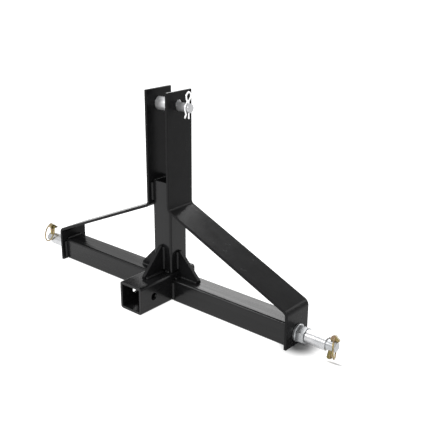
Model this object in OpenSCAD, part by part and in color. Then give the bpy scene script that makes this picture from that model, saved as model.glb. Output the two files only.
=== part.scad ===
// Three-point receiver hitch: a welded frame that carries a square receiver tube on the three
// hitch points of a tractor. Millimetres, +Z up, +X to the right seen from the receiver's mouth.
// The origin is on the ground, below the middle of the receiver tube.

/* [Receiver tube] */
// Outside width and height of the receiver tube
receiver_w = 63.5; // [60:0.5:80]
// Clear inside width and height of the receiver tube
receiver_bore = 51.5; // [48:0.5:52]
// Length of the receiver tube
receiver_l = 172; // [150:1:260]
// Height of the receiver tube's underside above the ground
receiver_lift = 3.5; // [0.5:0.5:8]
// Outside corner radius of the receiver tube
receiver_corner = 6; // [3:0.5:8]
// Diameter of the hole for the receiver's cross pin
cross_hole_d = 16.7; // [12:0.1:20]
// Distance from the mouth to the middle of the cross pin hole
cross_hole_inset = 40; // [28:1:45]

/* [Crossbar and post] */
// Outside width and height of the square tube of crossbar and post
bar_w = 52; // [46:1:56]
// Wall of the square tube of crossbar and post
bar_wall = 4; // [3:0.5:5]
// Outside corner radius of the square tube
bar_corner = 5; // [3:0.5:7]
// Height of the crossbar's underside above the ground
bar_lift = 0.5; // [0.5:0.5:4]
// Distance from the receiver's rear end forward to the middle of the crossbar
bar_inset = 46; // [40:1:52]
// Height of the post's top above the ground
post_top = 274; // [250:1:300]

/* [Braces] */
// Width of the flat bar of the braces
brace_w = 75; // [66:1:84]
// Thickness of the flat bar of the braces
brace_t = 6.4; // [6:0.1:10]
// Height of the braces' tops above the ground
brace_top = 470; // [462:1:520]
// Distance between the outer faces of the two end plates
spread = 692; // [640:1:760]
// Height of the upper bend's corner, on the outer face
upper_bend_z = 220; // [205:1:240]
// Height of the lower bend's corner, on the outer face
lower_bend_z = 82; // [78:1:100]
// Radius on the hollow side of each bend
bend_r = 9; // [4:0.5:12]
// Diameter of the top pin holes in the cheeks
cheek_hole_d = 24; // [22:0.5:28]
// Distance from the braces' tops down to the middle of the cheek holes
cheek_hole_inset = 30; // [24:1:45]

/* [Gussets] */
// Length of each gusset along its tube
gusset_l = 60; // [50:1:70]
// Height of each gusset above its tube
gusset_h = 62; // [50:1:70]
// Thickness of the gussets
gusset_t = 8; // [6:0.5:10]
// Width of the blunt ends of the gussets
gusset_blunt = 6; // [3:0.5:10]

/* [Lower pins] */
// Diameter of the smooth lower pins
lower_pin_d = 22.2; // [20:0.1:24]
// Length of the lower pins beyond the hexagon
lower_pin_l = 68; // [67:1:84]
// Diameter of the flange that seats on the end plate
flange_d = 38; // [36:0.5:44]
// Thickness of the flange
flange_t = 6; // [4:0.5:8]
// Width across flats of the hexagon
hex_w = 32; // [28:0.5:33]
// Length of the hexagon
hex_l = 18; // [12:1:22]
// Diameter of the stud's thread
thread_d = 20; // [16:1:21]
// Thickness of the captive nut
nut_t = 16; // [12:1:20]
// Width across flats of the captive nut
nut_w = 32; // [28:0.5:34]
// Distance from the hexagon to the middle of the lynch pin hole
lynch_hole_inset = 57.5; // [57.5:0.5:64]

/* [Sleeves] */
// Outside diameter of the lower sleeves
lower_sleeve_d = 28.6; // [26:0.1:30]
// Length of the lower sleeves
lower_sleeve_l = 47; // [40:1:47]
// Outside diameter of the top sleeve
top_sleeve_d = 28.6; // [26:0.1:30]
// Gap between the top sleeve's ends and the cheeks
top_sleeve_gap = 0.5; // [0.3:0.1:3]

/* [Lynch pins] */
// Diameter of the lynch pins' shanks
shank_d = 11; // [9:0.5:12]
// Length of the shank below the head
shank_l = 37.5; // [34:0.5:38]
// Width of the head, along the ring's hinge
head_w = 16; // [14:0.5:20]
// Height of the head
head_h = 10; // [9:0.5:12]
// Diameter of the ring's wire
ring_wire = 3.5; // [3:0.1:4]
// Radius of the ring at the middle of its wire
ring_r = 22.2; // [21:0.1:23]
// Radius of the bends where the ring's wire turns into the head
ring_bend_r = 5; // [3:0.5:6]
// Lean of the right lynch pin towards the back
lean_right = 24; // [18:1:30]
// Turn of the right lynch pin about its own shank
turn_right = 20; // [16:1:32]
// Angle between the right ring and its shank
hang_right = 14; // [12:1:22]
// Lean of the left lynch pin towards the back
lean_left = 0; // [0:1:12]
// Turn of the left lynch pin about its own shank
turn_left = 15; // [0:1:20]
// Height of the left lynch pin above its seat
raise_left = 15.5; // [15:0.5:20]
// Angle between the left ring and its shank
hang_left = 25; // [25:1:45]

/* [Top pin and clip] */
// Diameter of the top pin
top_pin_d = 19; // [16:0.1:22]
// Length of the top pin beyond the right cheek
top_pin_out = 32; // [28:1:50]
// Diameter of the top pin's head
top_head_d = 30; // [28:1:36]
// Thickness of the top pin's head
top_head_t = 8; // [5:0.5:12]
// Distance from the right cheek to the middle of the clip
clip_out = 25; // [20:1:25.5]
// Diameter of the clip's wire
clip_wire = 3.5; // [2.5:0.1:4]

/* [Fits] */
// Radial clearance of sleeves, rings and lynch pins that run on or in another piece
running_gap = 0.08; // [0.02:0.01:0.1]
// Gap between pieces that only rest on one another
seat_gap = 0.3; // [0.1:0.05:0.5]
// Leg of the fillet welds
weld_leg = 5; // [3:0.5:7]

/* [Hidden] */

$fn = 64;
// Steps round each modelled bend and tube corner
arc_steps = 10;
// Length by which a cut runs past the face that it opens
past = 1;

BLACK = [0.17, 0.17, 0.18];
WELD = [0.24, 0.24, 0.25];
ZINC = [0.74, 0.75, 0.77];
BRIGHT = [0.85, 0.86, 0.88];
YELLOW = [0.72, 0.62, 0.35];

// Main planes and heights of the frame
mouth_y = -receiver_l / 2;
rear_y = receiver_l / 2;
bar_y = rear_y - bar_inset;
bar_z = bar_lift + bar_w / 2;
bar_top = bar_lift + bar_w;
receiver_z = receiver_lift + receiver_w / 2;
receiver_top = receiver_lift + receiver_w;
plate_x = spread / 2;
inner_x = bar_w / 2;
cheek_x = inner_x + brace_t;
diagonal_angle = atan2(upper_bend_z - lower_bend_z, plate_x - cheek_x);

// Places along a lower pin, measured outwards from the crossbar's middle
hex_x = plate_x + flange_t;
shoulder_x = hex_x + hex_l;
pin_end_x = shoulder_x + lower_pin_l;
lynch_x = shoulder_x + lynch_hole_inset;
hole_in_plate = thread_d + 2 * seat_gap;

// The lynch pin's head seats on the lower pin beside the sleeve. The ring's hinge is in the middle
// of the head, and the ring's wire bends inwards beside it.
seat_s = lower_pin_d / 2 + seat_gap;
pivot_s = seat_s + head_h / 2;
stub_u = head_w / 2 + ring_wire / 2 + seat_gap;
stub_in = 4;
wire_step = 0.1;
bend_wire = ring_wire - wire_step;
stub_wire = bend_wire - wire_step;
bend_over = 3;
stub_over = 0.3;
bend_angle = asin(stub_u / (ring_r - ring_bend_r));
ring_drop = ring_bend_r + (ring_r - ring_bend_r) * cos(bend_angle);

// The top pin rests in the bottom of the cheek holes
cheek_hole_z = brace_top - cheek_hole_inset;
top_pin_z = cheek_hole_z - (cheek_hole_d - top_pin_d) / 2 + seat_gap;
clip_x = cheek_x + clip_out;

// Corner points of a rounded square, counter-clockwise
function rounded_square(w, r) = [
    for (q = [0:3])
    let (c = [w / 2 - r, w / 2 - r], turn = 90 * q)
    for (i = [0:arc_steps])
    let (a = 90 * i / arc_steps, p = c + r * [cos(a), sin(a)])
    [p[0] * cos(turn) - p[1] * sin(turn), p[0] * sin(turn) + p[1] * cos(turn)]
];

// A square tube along +Z, centred on the axis
module square_tube(w, bore, r, l) {
    linear_extrude(height = l)
        difference() {
            polygon(rounded_square(w, r));
            polygon(rounded_square(bore, max(r - (w - bore) / 2, 1)));
        }
}

module mirrored(side) {
    if (side < 0) mirror([1, 0, 0]) children();
    else children();
}

// Turns a shape drawn along +Z so that it lies along +X
module along_x() {
    rotate([0, 90, 0]) children();
}

module receiver_tube() {
    color(BLACK)
        difference() {
            translate([0, rear_y, receiver_z])
                rotate([90, 0, 0])
                    square_tube(receiver_w, receiver_bore, receiver_corner, receiver_l);
            translate([-receiver_w / 2 - past, mouth_y + cross_hole_inset, receiver_z])
                along_x() cylinder(d = cross_hole_d, h = receiver_w + 2 * past);
        }
}

module crossbar(side) {
    color(BLACK)
        mirrored(side)
            translate([receiver_w / 2, bar_y, bar_z])
                along_x()
                    square_tube(bar_w, bar_w - 2 * bar_wall, bar_corner,
                                plate_x - brace_t - receiver_w / 2);
}

module upright_tube() {
    color(BLACK)
        translate([0, bar_y, receiver_top])
            square_tube(bar_w, bar_w - 2 * bar_wall, bar_corner, post_top - receiver_top);
}

// Points of an arc about c, from angle a0 to a1
function arc(c, r, a0, a1) = [
    for (i = [0:arc_steps])
    let (a = a0 + (a1 - a0) * i / arc_steps)
    c + r * [cos(a), sin(a)]
];

// The flat bar's outline seen from the front: cheek, diagonal and end plate, with both bends
function brace_outline() =
    let (d = diagonal_angle,
         half_up = (90 - d) / 2,
         big_r = bend_r + brace_t,
         // Centre of the upper bend, outside the bar, and of the lower bend, inside it
         up = [cheek_x + bend_r, upper_bend_z + bend_r * tan(half_up)],
         low = [plate_x - big_r, lower_bend_z - big_r * tan(half_up)])
    concat(
        [[cheek_x, brace_top]],
        arc(up, bend_r, 180, 270 - d),
        arc(low, big_r, 90 - d, 0),
        [[plate_x, 0], [plate_x - brace_t, 0]],
        arc(low, bend_r, 0, 90 - d),
        arc(up, big_r, 270 - d, 180),
        [[inner_x, brace_top]]);

module brace(side) {
    color(BLACK)
        mirrored(side)
            difference() {
                translate([0, bar_y + brace_w / 2, 0])
                    rotate([90, 0, 0])
                        linear_extrude(height = brace_w) polygon(brace_outline());
                translate([inner_x - past, bar_y, cheek_hole_z])
                    along_x() cylinder(d = cheek_hole_d, h = brace_t + 2 * past);
                translate([plate_x - brace_t - past, bar_y, bar_z])
                    along_x() cylinder(d = hole_in_plate, h = brace_t + 2 * past);
            }
}

// A gusset's outline: the first axis runs along the tube, the second up the post
module gusset_outline(step_out, step_up) {
    polygon([[step_out, 0], [gusset_l, 0], [gusset_l, gusset_blunt], [gusset_blunt, gusset_h],
             [0, gusset_h], [0, step_up], [step_out, step_up]]);
}

module gusset_front() {
    color(BLACK)
        translate([gusset_t / 2, bar_y - bar_w / 2, receiver_top])
            rotate([90, 0, -90])
                linear_extrude(height = gusset_t) gusset_outline(0, 0);
}

// The side gussets step round the receiver, which stands higher than the crossbar
module gusset_side(side) {
    color(BLACK)
        mirrored(side)
            translate([inner_x, bar_y + gusset_t / 2, bar_top])
                rotate([90, 0, 0])
                    linear_extrude(height = gusset_t)
                        gusset_outline(receiver_w / 2 - inner_x, receiver_top - bar_top);
}

// Stud with thread, flange, hexagon and smooth pin, drawn along +X from the crossbar's middle
module lower_pin(side) {
    pin_r = lower_pin_d / 2;
    thread_r = thread_d / 2;
    flange_r = flange_d / 2;
    bevel = 2.5;
    edge = 1;
    hex_bevel = 2;
    hex_out_r = hex_w / 2 / cos(30);
    thread_x = plate_x - brace_t - nut_t;
    color(ZINC)
        mirrored(side)
            translate([0, bar_y, bar_z])
                difference() {
                    union() {
                        along_x()
                            rotate_extrude()
                                polygon([[0, thread_x], [thread_r - edge, thread_x],
                                         [thread_r, thread_x + edge], [thread_r, plate_x],
                                         [flange_r - edge, plate_x], [flange_r, plate_x + edge],
                                         [flange_r, hex_x - edge], [flange_r - edge, hex_x],
                                         [pin_r, hex_x], [pin_r, pin_end_x - bevel],
                                         [pin_r - bevel, pin_end_x], [0, pin_end_x]]);
                        intersection() {
                            translate([hex_x, 0, 0])
                                along_x() cylinder(r = hex_out_r, h = hex_l, $fn = 6);
                            along_x()
                                rotate_extrude()
                                    polygon([[0, hex_x - edge], [hex_out_r + edge, hex_x - edge],
                                             [hex_out_r + edge, shoulder_x - hex_bevel],
                                             [hex_w / 2, shoulder_x], [0, shoulder_x]]);
                        }
                    }
                    translate([lynch_x, 0, 0])
                        rotate([side < 0 ? -lean_left : -lean_right, 0, 0])
                            translate([0, 0, -lower_pin_d])
                                cylinder(d = shank_d + 2 * running_gap, h = 2 * lower_pin_d);
                }
}

module stud_nut(side) {
    color(ZINC)
        mirrored(side)
            translate([plate_x - brace_t - nut_t, bar_y, bar_z])
                along_x()
                    difference() {
                        cylinder(r = nut_w / 2 / cos(30), h = nut_t, $fn = 6);
                        translate([0, 0, -past])
                            cylinder(d = thread_d + 2 * running_gap, h = nut_t + 2 * past);
                    }
}

// A sleeve along +Z with bevelled rims
module sleeve(outer, bore, l) {
    bevel = 1;
    rotate_extrude()
        polygon([[bore / 2, 0], [outer / 2 - bevel, 0], [outer / 2, bevel], [outer / 2, l - bevel],
                 [outer / 2 - bevel, l], [bore / 2, l]]);
}

module lower_sleeve(side) {
    color(ZINC)
        mirrored(side)
            translate([shoulder_x + seat_gap, bar_y, bar_z])
                along_x()
                    sleeve(lower_sleeve_d, lower_pin_d + 2 * running_gap, lower_sleeve_l);
}

module top_sleeve() {
    color(ZINC)
        translate([-inner_x + top_sleeve_gap, bar_y, top_pin_z])
            along_x()
                sleeve(top_sleeve_d, top_pin_d + 2 * running_gap, bar_w - 2 * top_sleeve_gap);
}

// A lynch pin with its shank along Z: z = 0 is the lower pin's axis, X the ring's hinge axis,
// and the head's finger lip is on the -Y side
module lynch_pin_shape() {
    tip = 2;
    bottom = seat_s - shank_l;
    depth = 13;
    lip = 5;
    lip_t = 3.5;
    crown = 150;
    union() {
        rotate_extrude()
            polygon([[0, bottom], [shank_d / 2 - tip, bottom], [shank_d / 2, bottom + tip],
                     [shank_d / 2, seat_s + 1], [0, seat_s + 1]]);
        difference() {
            translate([-head_w / 2, 0, seat_s])
                rotate([90, 0, 90])
                    linear_extrude(height = head_w)
                        polygon(concat([[-depth / 2 - lip, 0], [depth / 2, 0]],
                                       arc([0, head_h - depth / 2], depth / 2, 0, crown),
                                       [[-depth / 2 - lip, lip_t]]));
            for (s = [-1, 1])
                translate([s * (head_w / 2 + past), 0, pivot_s])
                    rotate([0, -90 * s, 0])
                        cylinder(d = stub_wire + 2 * running_gap, h = stub_in + past + seat_gap);
        }
    }
}

// The ring hangs down from its hinge, on the +Y side by the angle given
module lynch_ring_shape(hang) {
    translate([0, 0, pivot_s])
        rotate([90 + hang, 0, 0])
            union() {
                translate([0, -ring_drop, 0])
                    rotate([0, 0, 90 + bend_angle])
                        rotate_extrude(angle = 360 - 2 * bend_angle)
                            translate([ring_r, 0]) circle(d = ring_wire);
                for (s = [-1, 1]) {
                    translate([s * stub_u, -ring_bend_r, 0])
                        rotate([0, 0, s < 0 ? 90 : 90 - bend_angle - bend_over])
                            rotate_extrude(angle = bend_angle + bend_over)
                                translate([ring_bend_r, 0]) circle(d = bend_wire);
                    translate([s * (stub_u + stub_over), 0, 0])
                        rotate([0, -90 * s, 0])
                            cylinder(d = stub_wire, h = stub_over + stub_u - head_w / 2 + stub_in);
                }
            }
}

// Places a lynch pin or its ring in the lower pin on the right or the left
module at_right_pin() {
    translate([lynch_x, bar_y, bar_z])
        rotate([-lean_right, 0, 0]) rotate([0, 0, -90 + turn_right]) children();
}

module at_left_pin() {
    translate([-lynch_x, bar_y, bar_z])
        rotate([-lean_left, 0, 0]) translate([0, 0, raise_left])
            rotate([0, 0, 180 - turn_left]) children();
}

// The right ring hangs on the side of the finger lip
module lynch_pin_right() {
    color(YELLOW) at_right_pin() rotate([0, 0, 180]) lynch_pin_shape();
}

module lynch_pin_left() {
    color(YELLOW) at_left_pin() lynch_pin_shape();
}

module lynch_ring_right() {
    color(YELLOW) at_right_pin() lynch_ring_shape(hang_right);
}

module lynch_ring_left() {
    color(YELLOW) at_left_pin() lynch_ring_shape(hang_left);
}

module top_pin() {
    r = top_pin_d / 2;
    head_r = top_head_d / 2;
    face = -cheek_x - seat_gap;
    end = cheek_x + top_pin_out;
    bevel = 1.5;
    color(ZINC)
        translate([0, bar_y, top_pin_z])
            difference() {
                along_x()
                    rotate_extrude()
                        polygon([[0, face - top_head_t], [head_r - 2 * bevel, face - top_head_t],
                                 [head_r, face - top_head_t + 2 * bevel], [head_r, face - bevel],
                                 [head_r - bevel, face], [r, face], [r, end - bevel],
                                 [r - bevel, end], [0, end]]);
                translate([clip_x, 0, -top_pin_d])
                    cylinder(d = clip_wire + 2 * seat_gap, h = 2 * top_pin_d);
            }
}

// A wire of diameter d along planar points [y, z], as one closed mesh
module planar_wire(points, d, sides = 12) {
    n = len(points);
    rings = [
        for (i = [0:n - 1])
        let (a = points[max(i - 1, 0)], b = points[min(i + 1, n - 1)],
             t = (b - a) / norm(b - a), side = [-t[1], t[0]])
        for (k = [0:sides - 1])
        let (w = 360 * k / sides, off = d / 2 * cos(w) * side)
        [d / 2 * sin(w), points[i][0] + off[0], points[i][1] + off[1]]
    ];
    walls = [
        for (i = [0:n - 2]) for (k = [0:sides - 1])
        let (j = (k + 1) % sides)
        [i * sides + k, i * sides + j, (i + 1) * sides + j, (i + 1) * sides + k]
    ];
    first = [for (k = [sides - 1:-1:0]) k];
    last = [for (k = [0:sides - 1]) (n - 1) * sides + k];
    polyhedron(points = rings, faces = concat([first], walls, [last]));
}

// A smooth curve through the points, steps pieces between each two
function smooth(p, steps) = concat(
    [
        for (i = [0:len(p) - 2]) for (s = [0:steps - 1])
        let (t = s / steps, a = p[max(i - 1, 0)], b = p[i], c = p[i + 1],
             d = p[min(i + 2, len(p) - 1)])
        0.5 * (2 * b + (c - a) * t + (2 * a - 5 * b + 4 * c - d) * t * t
               + (3 * b - a - 3 * c + d) * t * t * t)
    ],
    [p[len(p) - 1]]);

// The clip: its straight leg goes through the pin, its loop stands above, and its bowed leg
// wraps the pin's front. Points are [towards the back, up] from the pin's axis.
module hairpin_clip() {
    r = top_pin_d / 2;
    w = clip_wire;
    wrap = r + w / 2 + seat_gap;
    neck = r + 3;
    loop = 13;
    route = [[0, -r - 13], [0, -r], [0, 0], [0, neck - 3], [0.6, neck + 2], [6.4, neck + 9],
             [6, neck + 16], [0, neck + loop + 7], [-6.4, neck + 15], [-6.6, neck + 8],
             [-w - 1, neck + 1], [-wrap * 0.8, r * 0.75], [-wrap, 0], [-wrap * 0.85, -r * 0.65],
             [-wrap * 0.72, -r - 2], [-wrap * 0.9, -r - 7], [-wrap - 1, -r - 10]];
    color(BRIGHT)
        translate([clip_x, bar_y, top_pin_z]) planar_wire(smooth(route, 3), w);
}

// A fillet bead along +Z in the corner between the faces x = 0 and y = 0
module bead(l) {
    linear_extrude(height = l)
        intersection() {
            circle(r = weld_leg);
            square(weld_leg + past);
        }
}

// A bead along +Y in the corner between the faces x = 0 and z = 0
module bead_y(l) {
    rotate([-90, 0, 0]) rotate([0, 0, -90]) bead(l);
}

// A bead along +X in the corner between the faces y = 0 and z = 0
module bead_x(l) {
    rotate([90, 0, 90]) bead(l);
}

bar_flat = bar_w / 2 - bar_corner;

// Beads up the front and the rear of a crossbar's end, against the face x = 0
module bar_end_beads() {
    translate([0, -bar_w / 2, -bar_flat]) rotate([0, 0, -90]) bead(2 * bar_flat);
    translate([0, bar_w / 2, -bar_flat]) bead(2 * bar_flat);
}

// The beads on top of the crossbars stop at the side gussets
module weld_receiver() {
    color(WELD)
        for (side = [-1, 1])
            mirrored(side)
                translate([receiver_w / 2, bar_y, bar_z]) {
                    bar_end_beads();
                    translate([0, -bar_flat, bar_w / 2]) bead_y(bar_flat - gusset_t / 2);
                    translate([0, gusset_t / 2, bar_w / 2]) bead_y(bar_flat - gusset_t / 2);
                }
}

module weld_end(side) {
    color(WELD)
        mirrored(side)
            translate([plate_x - brace_t, bar_y, bar_z])
                mirror([1, 0, 0]) {
                    bar_end_beads();
                    translate([0, -bar_flat, bar_w / 2]) bead_y(2 * bar_flat);
                }
}

// Beads at the post's foot, on both sides of the front gusset and along the rear
module weld_post() {
    start = gusset_t / 2 + weld_leg;
    color(WELD) {
        for (side = [-1, 1])
            mirrored(side)
                translate([start, bar_y - bar_w / 2, receiver_top])
                    mirror([0, 1, 0]) bead_x(bar_flat - start);
        translate([-bar_flat, bar_y + bar_w / 2, receiver_top]) bead_x(2 * bar_flat);
    }
}

// Beads between the cheeks and the post, from the upper bend to the post's top
module weld_cheeks() {
    low = upper_bend_z + bend_r;
    color(WELD)
        for (side = [-1, 1], face = [-1, 1])
            mirrored(side)
                translate([inner_x, bar_y + face * bar_w / 2, low])
                    rotate([0, 0, face < 0 ? 180 : 90]) bead(post_top - weld_leg - low);
}

// Beads up both faces of each gusset along the post, and along both sides of its foot
module weld_gussets() {
    low = receiver_top + weld_leg;
    short = weld_leg / 2;
    front_h = receiver_top + gusset_h - short - low;
    side_h = bar_top + gusset_h - short - low;
    foot_x = receiver_w / 2 + weld_leg;
    color(WELD)
        for (side = [-1, 1]) {
            mirrored(side)
                translate([gusset_t / 2, bar_y - bar_w / 2, low])
                    rotate([0, 0, -90]) bead(front_h);
            mirrored(side)
                translate([gusset_t / 2, bar_y - bar_w / 2 - gusset_l + short, receiver_top])
                    bead_y(gusset_l - short - weld_leg);
            for (face = [-1, 1]) {
                mirrored(side)
                    translate([inner_x, bar_y + face * gusset_t / 2, low])
                        rotate([0, 0, face < 0 ? -90 : 0]) bead(side_h);
                mirrored(side)
                    translate([foot_x, bar_y + face * gusset_t / 2, bar_top])
                        mirror([0, face < 0 ? 1 : 0, 0])
                            bead_x(inner_x + gusset_l - short - foot_x);
            }
        }
}

receiver_tube();
crossbar(-1);  // crossbar_left
crossbar(1);  // crossbar_right
upright_tube();
brace(-1);  // brace_left
brace(1);  // brace_right
gusset_front();
gusset_side(-1);  // gusset_left
gusset_side(1);  // gusset_right
lower_pin(-1);  // lower_pin_left
lower_pin(1);  // lower_pin_right
stud_nut(-1);  // stud_nut_left
stud_nut(1);  // stud_nut_right
lower_sleeve(-1);  // lower_sleeve_left
lower_sleeve(1);  // lower_sleeve_right
lynch_pin_left();
lynch_pin_right();
lynch_ring_left();
lynch_ring_right();
top_pin();
top_sleeve();
hairpin_clip();
weld_receiver();
weld_end(-1);  // weld_end_left
weld_end(1);  // weld_end_right
weld_post();
weld_cheeks();
weld_gussets();
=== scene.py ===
import math
import random

import bmesh
import bpy
from mathutils import Matrix, Vector


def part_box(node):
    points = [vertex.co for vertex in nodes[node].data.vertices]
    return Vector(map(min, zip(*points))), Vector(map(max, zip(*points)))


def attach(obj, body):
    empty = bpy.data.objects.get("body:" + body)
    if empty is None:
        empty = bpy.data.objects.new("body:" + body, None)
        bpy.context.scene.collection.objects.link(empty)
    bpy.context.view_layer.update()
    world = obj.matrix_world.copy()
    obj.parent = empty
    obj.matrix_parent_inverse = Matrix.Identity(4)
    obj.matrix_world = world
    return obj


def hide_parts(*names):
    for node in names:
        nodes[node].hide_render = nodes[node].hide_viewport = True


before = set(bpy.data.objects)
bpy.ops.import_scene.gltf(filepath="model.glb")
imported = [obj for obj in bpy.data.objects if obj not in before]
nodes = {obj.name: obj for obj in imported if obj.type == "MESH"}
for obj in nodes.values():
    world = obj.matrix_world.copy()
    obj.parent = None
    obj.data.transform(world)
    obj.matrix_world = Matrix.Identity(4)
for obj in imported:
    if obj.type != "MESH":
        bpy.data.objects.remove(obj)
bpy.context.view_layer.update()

MM = 0.001

# Sizes of the welds, laid where the solids' own beads are
WELD_LEG = 5 * MM
RIPPLE_PITCH = 2.4 * MM
RIPPLE_BOW = 0.9 * MM
RING_STEP = 0.5 * MM
BEAD_TAPER = 1.6 * MM
BEAD_BLUNT = 0.15 * MM
BEAD_TURNS = 9
DRIFT_STEPS = 6
WELD_SEED = 7

# Rounding of the cut edges of bars, plates and turned parts
BAR_EDGE = 0.9 * MM
TUBE_EDGE = 0.8 * MM
TURNED_EDGE = 0.3 * MM
EDGE_ANGLE = math.radians(32)
EDGE_SEGMENTS = 3
CORNER_MERGE = 0.02 * MM
FLAT_WEIGHT = 80


# Camera, fitted to the object's outline in the photograph
CAMERA_AZIMUTH = 40.013
CAMERA_ELEVATION = 20.165
CAMERA_ROLL = 0.404
CAMERA_DISTANCE = 1.58418
CAMERA_TARGET = Vector((0.084458, 0.093931, 0.19718))
FOCAL_PIXELS = 725.028
PHOTO_PIXELS = 430
SENSOR_WIDTH = 36.0
CLIP_NEAR = 0.05
CLIP_FAR = 200


def make_camera():
    azimuth = math.radians(CAMERA_AZIMUTH)
    elevation = math.radians(CAMERA_ELEVATION)
    roll = math.radians(CAMERA_ROLL)
    flat = math.cos(elevation)
    back = Vector((math.sin(azimuth) * flat, -math.cos(azimuth) * flat, math.sin(elevation)))
    right = Vector((0, 0, 1)).cross(back).normalized()
    up = back.cross(right)
    turned_right = right * math.cos(roll) + up * math.sin(roll)
    turned_up = -right * math.sin(roll) + up * math.cos(roll)
    data = bpy.data.cameras.new("camera")
    data.sensor_width = SENSOR_WIDTH
    data.lens = SENSOR_WIDTH * FOCAL_PIXELS / PHOTO_PIXELS
    data.clip_start = CLIP_NEAR
    data.clip_end = CLIP_FAR
    camera = bpy.data.objects.new("camera", data)
    bpy.context.scene.collection.objects.link(camera)
    axes = Matrix((turned_right, turned_up, back)).transposed().to_4x4()
    camera.matrix_world = Matrix.Translation(CAMERA_TARGET + back * CAMERA_DISTANCE) @ axes
    bpy.context.scene.camera = camera


make_camera()


# Short ways to build materials
class Shader:
    """A material's node tree with short ways to add and join nodes."""

    def __init__(self, name):
        self.material = bpy.data.materials.new(name)
        self.material.use_nodes = True
        self.tree = self.material.node_tree
        self.tree.nodes.clear()
        self.output = self.add("ShaderNodeOutputMaterial")

    def add(self, kind, **values):
        node = self.tree.nodes.new(kind)
        for key, value in values.items():
            setattr(node, key, value)
        return node

    def join(self, source, target):
        self.tree.links.new(source, target)

    def coordinates(self, stretch=(1, 1, 1)):
        place = self.add("ShaderNodeTexCoord")
        mapping = self.add("ShaderNodeMapping")
        mapping.inputs["Scale"].default_value = stretch
        self.join(place.outputs["Object"], mapping.inputs["Vector"])
        return mapping.outputs["Vector"]

    def noise(self, scale, detail=2.0, roughness=0.5, stretch=(1, 1, 1), distortion=0.0):
        node = self.add("ShaderNodeTexNoise")
        node.inputs["Scale"].default_value = scale
        node.inputs["Detail"].default_value = detail
        node.inputs["Roughness"].default_value = roughness
        node.inputs["Distortion"].default_value = distortion
        self.join(self.coordinates(stretch), node.inputs["Vector"])
        return node.outputs["Fac"]

    def ramp(self, fac, stops):
        node = self.add("ShaderNodeValToRGB")
        elements = node.color_ramp.elements
        while len(elements) < len(stops):
            elements.new(0.5)
        for element, (position, colour) in zip(elements, stops):
            element.position = position
            element.color = (*colour, 1.0)
        self.join(fac, node.inputs["Fac"])
        return node.outputs["Color"]

    def spread(self, fac, low, high, start=0.3, end=0.7):
        node = self.add("ShaderNodeMapRange")
        node.inputs["From Min"].default_value = start
        node.inputs["From Max"].default_value = end
        node.inputs["To Min"].default_value = low
        node.inputs["To Max"].default_value = high
        self.join(fac, node.inputs["Value"])
        return node.outputs["Result"]

    def maths(self, operation, first, second):
        node = self.add("ShaderNodeMath", operation=operation)
        for socket, value in zip(node.inputs, (first, second)):
            if isinstance(value, (int, float)):
                socket.default_value = value
            else:
                self.join(value, socket)
        return node.outputs["Value"]

    def blend(self, first, first_share, second, second_share):
        first_part = self.maths("MULTIPLY", first, first_share)
        return self.maths("ADD", first_part, self.maths("MULTIPLY", second, second_share))

    def bump(self, height, strength, distance, normal=None):
        node = self.add("ShaderNodeBump")
        node.inputs["Strength"].default_value = strength
        node.inputs["Distance"].default_value = distance
        self.join(height, node.inputs["Height"])
        if normal is not None:
            self.join(normal, node.inputs["Normal"])
        return node.outputs["Normal"]

    def principled(self, colour, roughness, normal, metallic=0.0, **sockets):
        node = self.add("ShaderNodeBsdfPrincipled")
        node.inputs["Metallic"].default_value = metallic
        for key, value in sockets.items():
            node.inputs[key.replace("_", " ")].default_value = value
        self.join(colour, node.inputs["Base Color"])
        self.join(roughness, node.inputs["Roughness"])
        self.join(normal, node.inputs["Normal"])
        self.join(node.outputs["BSDF"], self.output.inputs["Surface"])
        return self.material


# Materials
COAT_IOR = 1.31
BAR_IOR = 1.18
COAT_DARK = (0.0095, 0.0095, 0.0100)
COAT_LIGHT = (0.0150, 0.0150, 0.0156)
COAT_CLOUDS = 22
COAT_LINES = 55
ORANGE_PEEL = 620
COAT_GRAIN = 2400
ZINC_MARKS = 90
ZINC_STAINS = 200
FILM_SCALE = 95
GOLD_GRAIN = 700
# Thickness of the yellow zinc's film, and its colour there: olive, gold, pale gold, pink and brown
FILMS = [(0.30, (0.12, 0.12, 0.05)), (0.42, (0.22, 0.18, 0.07)), (0.52, (0.30, 0.235, 0.105)),
         (0.62, (0.275, 0.185, 0.135)), (0.72, (0.185, 0.17, 0.085))]


def powder_coat(name, stretch=(1, 1, 1), painted_streak_shadow=0.5, smooth=0.18, rough=0.30, relief=0.10, ior=COAT_IOR):
    """Semi-gloss black powder coat. Faint drawing lines of the steel below run along the piece."""
    s = Shader(name)
    cloud = s.noise(COAT_CLOUDS, 3)
    lines = s.noise(COAT_LINES, 4, 0.55, stretch)
    peel = s.noise(ORANGE_PEEL, 1)
    fine = s.noise(COAT_GRAIN, 1)
    mixed = s.blend(cloud, 1 - painted_streak_shadow, lines, painted_streak_shadow)
    colour = s.ramp(mixed, [(0.30, COAT_DARK), (0.70, COAT_LIGHT)])
    roughness = s.spread(mixed, smooth, rough)
    normal = s.bump(lines, relief, 0.0006)
    normal = s.bump(peel, 0.10, 0.0004, normal)
    normal = s.bump(fine, 0.05, 0.0001, normal)
    return s.principled(colour, roughness, normal, IOR=ior)


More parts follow.
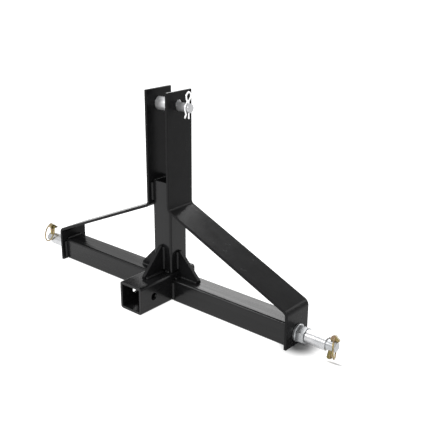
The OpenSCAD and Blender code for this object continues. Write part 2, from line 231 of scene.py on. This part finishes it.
def zinc(name, dark, light, smooth, rough, stretch, cloud_scale=60, line_strength=0.12, bright=0.85):
    """Bright zinc plate with clouding, fine marks across the grain and small stains."""
    s = Shader(name)
    cloud = s.noise(cloud_scale, 4, 0.6, distortion=0.6)
    marks = s.noise(ZINC_MARKS, 3, 0.6, stretch)
    stains = s.noise(ZINC_STAINS, 2)
    colour = s.ramp(s.blend(cloud, 0.7, stains, 0.3), [(0.32, dark), (0.66, light)])
    roughness = s.spread(s.blend(marks, 0.6, cloud, 0.4), smooth, rough)
    normal = s.bump(marks, line_strength, 0.0003)
    normal = s.bump(stains, 0.02, 0.0002, normal)
    return s.principled(colour, roughness, normal, metallic=bright)


def yellow_zinc(name):
    """Yellow passivated zinc, whose film changes colour with its thickness."""
    s = Shader(name)
    film = s.noise(FILM_SCALE, 3, 0.6, distortion=1.2)
    grain = s.noise(GOLD_GRAIN, 2)
    colour = s.ramp(film, FILMS)
    roughness = s.spread(grain, 0.18, 0.30)
    normal = s.bump(grain, 0.12, 0.0002)
    return s.principled(colour, roughness, normal, metallic=1.0)


ALONG_X = (0.06, 2.6, 2.6)
DRAWN_X = (0.04, 1.5, 1.5)
ALONG_Y = (2.6, 0.06, 2.6)
ALONG_Z = (2.6, 2.6, 0.06)
ROUND_X = (14.0, 0.5, 0.5)

coat_x = powder_coat("powder_coat_crossbar", DRAWN_X, painted_streak_shadow=0.80, smooth=0.10, rough=0.28, relief=0.70)
coat_y = powder_coat("powder_coat_receiver", ALONG_Y, painted_streak_shadow=0.6, smooth=0.14, rough=0.24)
coat_z = powder_coat("powder_coat_post", ALONG_Z, painted_streak_shadow=0.6, smooth=0.14, rough=0.24)
coat_bar = powder_coat("powder_coat_bar", painted_streak_shadow=0.4, ior=BAR_IOR)
coat_weld = powder_coat("powder_coat_weld", painted_streak_shadow=0.3, smooth=0.10, rough=0.18)
pin_zinc = zinc("zinc_pin", dark=(0.35, 0.36, 0.37), light=(0.50, 0.51, 0.52),
                smooth=0.22, rough=0.32, stretch=ROUND_X, line_strength=0.05, bright=0.78)
sleeve_zinc = zinc("zinc_sleeve", dark=(0.42, 0.43, 0.44), light=(0.60, 0.60, 0.61),
                   smooth=0.22, rough=0.32, stretch=ALONG_X, cloud_scale=40, line_strength=0.08)
nut_zinc = zinc("zinc_nut", dark=(0.66, 0.67, 0.68), light=(0.84, 0.85, 0.86),
                smooth=0.22, rough=0.32, stretch=(1, 1, 1), line_strength=0.03, bright=0.62)
# The top sleeve, top pin and clip's wire get lighter zinc colours than the lower sleeves and pins: painted
# light, making up for the shade of the dark cheeks around them
top_sleeve_zinc_lightened = zinc("zinc_top_sleeve_lightened", dark=(0.68, 0.69, 0.70), light=(0.92, 0.92, 0.93),
                       smooth=0.26, rough=0.38, stretch=ALONG_X, cloud_scale=45, line_strength=0.08,
                       bright=0.45)
top_pin_zinc_lightened = zinc("zinc_top_pin_lightened", dark=(0.48, 0.49, 0.50), light=(0.66, 0.66, 0.67),
                    smooth=0.26, rough=0.38, stretch=ROUND_X, line_strength=0.05, bright=0.50)
wire_zinc_lightened = zinc("zinc_wire_lightened", dark=(0.90, 0.90, 0.91), light=(0.96, 0.96, 0.96),
                 smooth=0.28, rough=0.38, stretch=ALONG_Z, line_strength=0.04)
gold_zinc = yellow_zinc("yellow_zinc")

finishes = {
    "receiver_tube": coat_y, "crossbar_left": coat_x, "crossbar_right": coat_x,
    "upright_tube": coat_z, "brace_left": coat_bar, "brace_right": coat_bar,
    "gusset_front": coat_bar, "gusset_left": coat_bar, "gusset_right": coat_bar,
    "lower_pin_left": pin_zinc, "lower_pin_right": pin_zinc,
    "stud_nut_left": nut_zinc, "stud_nut_right": nut_zinc,
    "lower_sleeve_left": sleeve_zinc, "lower_sleeve_right": sleeve_zinc, "top_sleeve": top_sleeve_zinc_lightened,
    "lynch_pin_left": gold_zinc, "lynch_pin_right": gold_zinc,
    "lynch_ring_left": gold_zinc, "lynch_ring_right": gold_zinc,
    "top_pin": top_pin_zinc_lightened, "hairpin_clip": wire_zinc_lightened,
}
edges = {
    "receiver_tube": TUBE_EDGE, "crossbar_left": TUBE_EDGE, "crossbar_right": TUBE_EDGE,
    "upright_tube": TUBE_EDGE, "brace_left": BAR_EDGE, "brace_right": BAR_EDGE,
    "gusset_front": BAR_EDGE, "gusset_left": BAR_EDGE, "gusset_right": BAR_EDGE,
    "lower_pin_left": TURNED_EDGE, "lower_pin_right": TURNED_EDGE,
    "lynch_pin_left": TURNED_EDGE, "lynch_pin_right": TURNED_EDGE,
}


def dress(name, material, edge):
    """Gives a node its finish, and rounds its sharp edges by modifiers, which leave its mesh as it is."""
    piece = nodes[name]
    piece.data.materials.clear()
    piece.data.materials.append(material)
    if edge:
        weld = piece.modifiers.new("joined_corners", "WELD")
        weld.merge_threshold = CORNER_MERGE
        bevel = piece.modifiers.new("rounded_edges", "BEVEL")
        bevel.limit_method = "ANGLE"
        bevel.angle_limit = EDGE_ANGLE
        bevel.width = edge
        bevel.segments = EDGE_SEGMENTS
        bevel.use_clamp_overlap = True
        normals = piece.modifiers.new("flat_faces", "WEIGHTED_NORMAL")
        normals.weight = FLAT_WEIGHT


for node_name, finish in finishes.items():
    dress(node_name, finish, edges.get(node_name))

# The clip, swept anew as a smooth round wire
TOP_PIN = 19 * MM
CLIP_WIRE = 3.5 * MM
CLIP_GAP = 0.3 * MM
CLIP_STEPS = 10
CLIP_SIDES = 20
CLIP_END = 0.72


def smooth(points, steps):
    """A Catmull-Rom curve through the points, the same as the solid's."""
    curve = []
    for i in range(len(points) - 1):
        before = points[max(i - 1, 0)]
        start, end = points[i], points[i + 1]
        after = points[min(i + 2, len(points) - 1)]
        for step in range(steps):
            t = step / steps
            curve.append(0.5 * (2 * start + (end - before) * t
                                + (2 * before - 5 * start + 4 * end - after) * t * t
                                + (3 * start - before - 3 * end + after) * t ** 3))
    return curve + [points[-1]]


def make_clip():
    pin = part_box("top_pin")
    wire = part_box("hairpin_clip")
    axis = (pin[0] + pin[1]) / 2
    axis.x = (wire[0].x + wire[1].x) / 2
    # The route is in millimetres about the pin's axis, across and up
    r, w = TOP_PIN / 2 / MM, CLIP_WIRE / MM
    wrap = r + w / 2 + CLIP_GAP / MM
    neck = r + 3
    loop = 13
    route = [(0, -r - 13), (0, -r), (0, 0), (0, neck - 3), (0.6, neck + 2), (6.4, neck + 9),
             (6, neck + 16), (0, neck + loop + 7), (-6.4, neck + 15), (-6.6, neck + 8),
             (-w - 1, neck + 1), (-wrap * 0.8, r * 0.75), (-wrap, 0), (-wrap * 0.85, -r * 0.65),
             (-wrap * 0.72, -r - 2), (-wrap * 0.9, -r - 7), (-wrap - 1, -r - 10)]
    line = smooth([Vector(point) for point in route], CLIP_STEPS)
    mesh = bmesh.new()
    rings = []
    for i, point in enumerate(line):
        ahead = line[min(i + 1, len(line) - 1)] - line[max(i - 1, 0)]
        ahead.normalize()
        side = Vector((-ahead.y, ahead.x))
        radius = w / 2
        if i in (0, len(line) - 1):
            radius *= CLIP_END
        ring = []
        for k in range(CLIP_SIDES):
            angle = 2 * math.pi * k / CLIP_SIDES
            flat_point = point + side * math.cos(angle) * radius
            ring.append(mesh.verts.new((axis.x + math.sin(angle) * radius * MM,
                                        axis.y + flat_point.x * MM, axis.z + flat_point.y * MM)))
        rings.append(ring)
    for near, far in zip(rings, rings[1:]):
        for k in range(CLIP_SIDES):
            j = (k + 1) % CLIP_SIDES
            mesh.faces.new((near[k], near[j], far[j], far[k]))
    mesh.faces.new(list(reversed(rings[0])))
    mesh.faces.new(rings[-1])
    bmesh.ops.recalc_face_normals(mesh, faces=mesh.faces)
    data = bpy.data.meshes.new("clip_wire")
    mesh.to_mesh(data)
    mesh.free()
    data.polygons.foreach_set("use_smooth", [True] * len(data.polygons))
    data.materials.append(wire_zinc_lightened)
    piece = bpy.data.objects.new("clip_wire", data)
    bpy.context.scene.collection.objects.link(piece)
    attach(piece, "top_pin")
    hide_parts("hairpin_clip")


make_clip()


# Weld beads
def lay_bead(mesh, start, along, side_a, side_b, length, dice):
    """Adds one rippled fillet bead in the corner between side_a and side_b, from start on."""
    along, side_a, side_b = Vector(along), Vector(side_a), Vector(side_b)
    start = Vector(start)
    count = max(6, round(length / RING_STEP))
    shift = dice.random() * RIPPLE_PITCH
    previous = None
    wobble = [dice.uniform(-1, 1) for _ in range(count // DRIFT_STEPS + 3)]
    for i in range(count + 1):
        t = length * i / count
        near_end = min(1.0, (min(t, length - t) + BEAD_BLUNT) / BEAD_TAPER)
        swell = 0.55 + 0.45 * math.sqrt(1 - (1 - near_end) ** 2)
        k = i / DRIFT_STEPS
        low = int(k)
        drift = wobble[low] + (wobble[low + 1] - wobble[low]) * (k - low)
        ring = [mesh.verts.new(start + along * t)]
        for j in range(BEAD_TURNS):
            angle = math.pi / 2 * j / (BEAD_TURNS - 1)
            bow = RIPPLE_BOW * math.sin(2 * angle)
            phase = ((t + shift - bow) / RIPPLE_PITCH) % 1.0
            ripple = 0.5 - 0.5 * math.cos(2 * math.pi * phase ** 0.7)
            radius = WELD_LEG * swell * (0.90 + 0.085 * ripple + 0.012 * drift)
            offset = side_a * math.cos(angle) + side_b * math.sin(angle)
            ring.append(mesh.verts.new(start + along * t + offset * radius))
        if previous:
            for j in range(len(ring)):
                n = (j + 1) % len(ring)
                mesh.faces.new((previous[j], previous[n], ring[n], ring[j]))
        else:
            mesh.faces.new(list(reversed(ring)))
        previous = ring
    mesh.faces.new(previous)


def weld_piece(name, node, beads):
    mesh = bmesh.new()
    dice = random.Random(WELD_SEED + len(beads))
    for bead in beads:
        lay_bead(mesh, *bead, dice)
    bmesh.ops.recalc_face_normals(mesh, faces=mesh.faces)
    data = bpy.data.meshes.new(name)
    mesh.to_mesh(data)
    mesh.free()
    data.polygons.foreach_set("use_smooth", [True] * len(data.polygons))
    data.materials.append(coat_weld)
    piece = bpy.data.objects.new(name, data)
    bpy.context.scene.collection.objects.link(piece)
    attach(piece, "frame")
    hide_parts(node)


X, Y, Z = Vector((1, 0, 0)), Vector((0, 1, 0)), Vector((0, 0, 1))
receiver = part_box("receiver_tube")
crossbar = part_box("crossbar_right")
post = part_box("upright_tube")
front_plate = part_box("gusset_front")
side_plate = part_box("gusset_right")
BAR_CORNER = 5 * MM
UPPER_BEND = 0.229
wall_x = receiver[1].x
end_x = crossbar[1].x
front_y, rear_y = crossbar[0].y, crossbar[1].y
low_z, top_z = crossbar[0].z, crossbar[1].z
mid_y = (front_y + rear_y) / 2
flat = (rear_y - front_y) / 2 - BAR_CORNER
roof_z = receiver[1].z
plate_half = front_plate[1].x


def end_beads(side, x, into):
    """Beads up the front and the rear of a crossbar's end at x."""
    out = X * into
    low = low_z + BAR_CORNER
    return [((side * x, front_y, low), Z, -Y, out, 2 * flat),
            ((side * x, rear_y, low), Z, Y, out, 2 * flat)]


receiver_beads = []
for side in (-1, 1):
    receiver_beads += end_beads(side, wall_x, side)
    stretch = flat - plate_half
    receiver_beads.append(((side * wall_x, mid_y - flat, top_z), Y, X * side, Z, stretch))
    receiver_beads.append(((side * wall_x, mid_y + plate_half, top_z), Y, X * side, Z, stretch))
weld_piece("weld_beads_receiver", "weld_receiver", receiver_beads)

for side, word in ((-1, "left"), (1, "right")):
    beads = end_beads(side, end_x, -side)
    beads.append(((side * end_x, mid_y - flat, top_z), Y, X * -side, Z, 2 * flat))
    weld_piece("weld_beads_end_" + word, "weld_end_" + word, beads)

foot = plate_half + WELD_LEG
post_beads = [((-flat, rear_y, roof_z), X, Y, Z, 2 * flat)]
for side in (-1, 1):
    post_beads.append(((side * foot, front_y, roof_z), X * side, -Y, Z, flat - foot))
weld_piece("weld_beads_post", "weld_post", post_beads)

cheek_x = post[1].x
cheek_beads = []
for side in (-1, 1):
    for face, y in ((-1, front_y), (1, rear_y)):
        run = post[1].z - WELD_LEG - UPPER_BEND
        cheek_beads.append(((side * cheek_x, y, UPPER_BEND), Z, X * -side, Y * face, run))
weld_piece("weld_beads_cheeks", "weld_cheeks", cheek_beads)

low = roof_z + WELD_LEG
short = WELD_LEG / 2
gusset_beads = []
for side in (-1, 1):
    up_front = front_plate[1].z - short - low
    up_side = side_plate[1].z - short - low
    gusset_beads.append(((side * plate_half, front_y, low), Z, X * side, -Y, up_front))
    gusset_beads.append(((side * plate_half, front_plate[0].y + short, roof_z), Y, X * side, Z,
                         front_y - WELD_LEG - front_plate[0].y - short))
    for face in (-1, 1):
        y = mid_y + face * plate_half
        gusset_beads.append(((side * cheek_x, y, low), Z, X * side, Y * face, up_side))
        from_x = wall_x + WELD_LEG
        gusset_beads.append(((side * from_x, y, top_z), X * side, Y * face, Z,
                             side_plate[1].x - short - from_x))
weld_piece("weld_beads_gussets", "weld_gussets", gusset_beads)


# Floor, light and backdrop
LIGHT_AIM = Vector((0, 0.04, 0.12))
WHITE = (1, 1, 1, 1)
FLOOR_SIZE = 60.0
FLOOR_SEEN = 0.50
FLOOR_LIT = 0.95
# Floor colours for the light it passes on: full in the open, and painted shade, darker, at the back right
# and far in front
FLOOR_PAINTED_DARK = 0.26
FLOOR_FAR = 0.42
GLOW_OPEN = 0.98
# Painted shadow under the right stud: the floor's glow is painted down around this place, below zero at its
# middle
GLOW_SHADE = -0.06
SHADE_CENTRE = (0.357, 0.038, 0)
SHADE_INNER = 0.010
SHADE_OUTER = 0.058
# Painted shadow streak off the right lynch pin's tip: a thin stretch of floor where the glow is painted
# down
STREAK_SHADOW_CENTRE = (0.4440, 0.0262, 0)
STREAK_SHADOW_TURN = math.radians(6.1)
STREAK_SHADOW_SIZE = (0.034, 0.0062, 1)
STREAK_SHADOW_DEPTH = 0.15
FLOOR_DROP = 0.3 * MM
# Directions on the floor, and the distances along them at which its light fades: painted shade, a darker
# floor colour for the light the floor passes on, towards the back right and far in front
PAINTED_DARK_TOWARD = (0.25, 1.0, 0.0)
PAINTED_DARK_START = 0.09
PAINTED_DARK_END = 0.25
FAR_TOWARD = (0, -1, 0)
FAR_START = 0.14
FAR_END = 0.45
# The world's soft areas: direction, where each starts and is full, and its strength
FRONT_LEFT = ((-0.62, -0.70, 0.35), 0.55, 0.97, 0.88)
ABOVE = ((0, 0, 1), 0.55, 1.0, 0.20)
BEHIND = ((-0.50, 0.78, 0.37), 0.80, 0.98, 1.04)
WORLD_BASE = 0.072


def nodes_of(tree):
    """Short ways to add and join nodes in a tree."""
    def add(kind, **values):
        node = tree.nodes.new(kind)
        for key, value in values.items():
            setattr(node, key, value)
        return node

    def feed(socket, value):
        if isinstance(value, (int, float, tuple)):
            socket.default_value = value
        else:
            tree.links.new(value, socket)

    def maths(operation, first, second):
        node = add("ShaderNodeMath", operation=operation)
        feed(node.inputs[0], first)
        feed(node.inputs[1], second)
        return node.outputs["Value"]

    def rise(value, low, high, bottom, top):
        node = add("ShaderNodeMapRange", interpolation_type="SMOOTHSTEP")
        node.inputs["From Min"].default_value = low
        node.inputs["From Max"].default_value = high
        node.inputs["To Min"].default_value = bottom
        node.inputs["To Max"].default_value = top
        feed(node.inputs["Value"], value)
        return node.outputs["Result"]

    def toward(vector, direction):
        node = add("ShaderNodeVectorMath", operation="DOT_PRODUCT")
        feed(node.inputs[0], vector)
        node.inputs[1].default_value = direction
        return node.outputs["Value"]

    return add, feed, maths, rise, toward


def backdrop_rays(rays, maths):
    """1 for the rays that show the pale backdrop: from the camera, and by way of metal, gloss and glass."""
    shown = maths("MAXIMUM", rays.outputs["Is Camera Ray"], rays.outputs["Is Glossy Ray"])
    return maths("MAXIMUM", shown, rays.outputs["Is Transmission Ray"])


def make_floor():
    """White where seen or mirrored, with a painted shadow under the right stud and a painted shadow streak
    off the right lynch pin's tip. Dimmer as a source, with painted shade towards the back right and far in
    front.
    """
    mesh = bmesh.new()
    bmesh.ops.create_grid(mesh, x_segments=8, y_segments=8, size=FLOOR_SIZE / 2)
    data = bpy.data.meshes.new("floor")
    mesh.to_mesh(data)
    mesh.free()
    floor = bpy.data.objects.new("floor", data)
    floor.location.z = -FLOOR_DROP
    bpy.context.scene.collection.objects.link(floor)
    material = bpy.data.materials.new("pale_floor")
    material.use_nodes = True
    tree = material.node_tree
    tree.nodes.clear()
    add, feed, maths, rise, toward = nodes_of(tree)
    output = add("ShaderNodeOutputMaterial")
    rays = add("ShaderNodeLightPath")
    place = add("ShaderNodeTexCoord").outputs["Object"]
    away = add("ShaderNodeVectorMath", operation="DISTANCE")
    feed(away.inputs[0], place)
    away.inputs[1].default_value = SHADE_CENTRE
    seen = add("ShaderNodeBsdfDiffuse")
    seen.inputs["Color"].default_value = (FLOOR_SEEN, FLOOR_SEEN, FLOOR_SEEN, 1)
    glow = add("ShaderNodeEmission")
    # Painted shadow: the glow drops near the right stud
    painted_stud_shadow = rise(away.outputs["Value"], SHADE_INNER, SHADE_OUTER, GLOW_SHADE, GLOW_OPEN)
    across = add("ShaderNodeMapping", vector_type="TEXTURE")
    across.inputs["Location"].default_value = STREAK_SHADOW_CENTRE
    across.inputs["Rotation"].default_value = (0, 0, STREAK_SHADOW_TURN)
    across.inputs["Scale"].default_value = STREAK_SHADOW_SIZE
    feed(across.inputs["Vector"], place)
    length = add("ShaderNodeVectorMath", operation="LENGTH")
    feed(length.inputs[0], across.outputs["Vector"])
    # Painted shadow streak off the right lynch pin's tip
    painted_streak_shadow = rise(length.outputs["Value"], 0.1, 1.0, STREAK_SHADOW_DEPTH, 1.0)
    feed(glow.inputs["Strength"], maths("MULTIPLY", painted_stud_shadow, painted_streak_shadow))
    both = add("ShaderNodeAddShader")
    feed(both.inputs[0], seen.outputs["BSDF"])
    feed(both.inputs[1], glow.outputs["Emission"])
    # Painted shade in the floor's colour for the light it passes on: darker towards the back right and far
    # in front
    painted_dark = rise(toward(place, PAINTED_DARK_TOWARD), PAINTED_DARK_START, PAINTED_DARK_END, FLOOR_LIT, FLOOR_PAINTED_DARK)
    far = rise(toward(place, FAR_TOWARD), FAR_START, FAR_END, 1.0, FLOOR_FAR)
    lit = add("ShaderNodeBsdfDiffuse")
    feed(lit.inputs["Color"], maths("MULTIPLY", painted_dark, far))
    pick = add("ShaderNodeMixShader")
    feed(pick.inputs["Fac"], backdrop_rays(rays, maths))
    feed(pick.inputs[1], lit.outputs["BSDF"])
    feed(pick.inputs[2], both.outputs["Shader"])
    feed(output.inputs["Surface"], pick.outputs["Shader"])
    data.materials.append(material)


def make_world():
    """White where seen or mirrored. As a source, bright in front on the left and dim on the right."""
    world = bpy.data.worlds.new("studio")
    bpy.context.scene.world = world
    world.use_nodes = True
    tree = world.node_tree
    tree.nodes.clear()
    add, feed, maths, rise, toward = nodes_of(tree)
    output = add("ShaderNodeOutputWorld")
    rays = add("ShaderNodeLightPath")
    seen = add("ShaderNodeBackground")
    seen.inputs["Color"].default_value = WHITE
    seen.inputs["Strength"].default_value = 1.0
    studio = add("ShaderNodeBackground")
    studio.inputs["Color"].default_value = WHITE
    direction = add("ShaderNodeTexCoord").outputs["Generated"]
    areas = []
    for aim, start, full, strength in (FRONT_LEFT, ABOVE, BEHIND):
        areas.append(rise(toward(direction, aim), start, full, 0.0, strength))
    total = maths("ADD", maths("ADD", areas[0], areas[1]), maths("ADD", areas[2], WORLD_BASE))
    feed(studio.inputs["Strength"], total)
    pick = add("ShaderNodeMixShader")
    feed(pick.inputs["Fac"], backdrop_rays(rays, maths))
    feed(pick.inputs[1], studio.outputs["Background"])
    feed(pick.inputs[2], seen.outputs["Background"])
    feed(output.inputs["Surface"], pick.outputs["Shader"])


def soft_light(name, azimuth, elevation, distance, size, radiance):
    """A softbox facing the middle of the object. Azimuth 0 is behind it, and -90 on its left."""
    data = bpy.data.lights.new(name, "AREA")
    data.shape = "RECTANGLE"
    data.size = size[0]
    data.size_y = size[1]
    data.energy = radiance * math.pi * size[0] * size[1]
    light = bpy.data.objects.new(name, data)
    turn, tilt = math.radians(azimuth), math.radians(elevation)
    direction = Vector((math.sin(turn) * math.cos(tilt), math.cos(turn) * math.cos(tilt), math.sin(tilt)))
    light.location = LIGHT_AIM + direction * distance
    light.rotation_euler = direction.to_track_quat("Z", "Y").to_euler()
    light.visible_camera = False
    bpy.context.scene.collection.objects.link(light)


make_floor()
make_world()
soft_light("back_box", azimuth=-28, elevation=25, distance=3.0, size=(1.6, 0.9), radiance=3.4)
soft_light("brace_box", azimuth=-25, elevation=46, distance=3.0, size=(0.8, 0.6), radiance=10.0)
soft_light("key_box", azimuth=-143, elevation=36, distance=2.8, size=(0.8, 0.8), radiance=9.5)
soft_light("top_box", azimuth=-60, elevation=74, distance=2.6, size=(1.4, 1.0), radiance=2.6)
soft_light("rim_strip", azimuth=33, elevation=25, distance=3.0, size=(0.5, 1.9), radiance=4.5)
soft_light("front_box", azimuth=146, elevation=34, distance=3.0, size=(1.3, 1.3), radiance=4.0)

bpy.context.scene.view_settings.view_transform = "Standard"
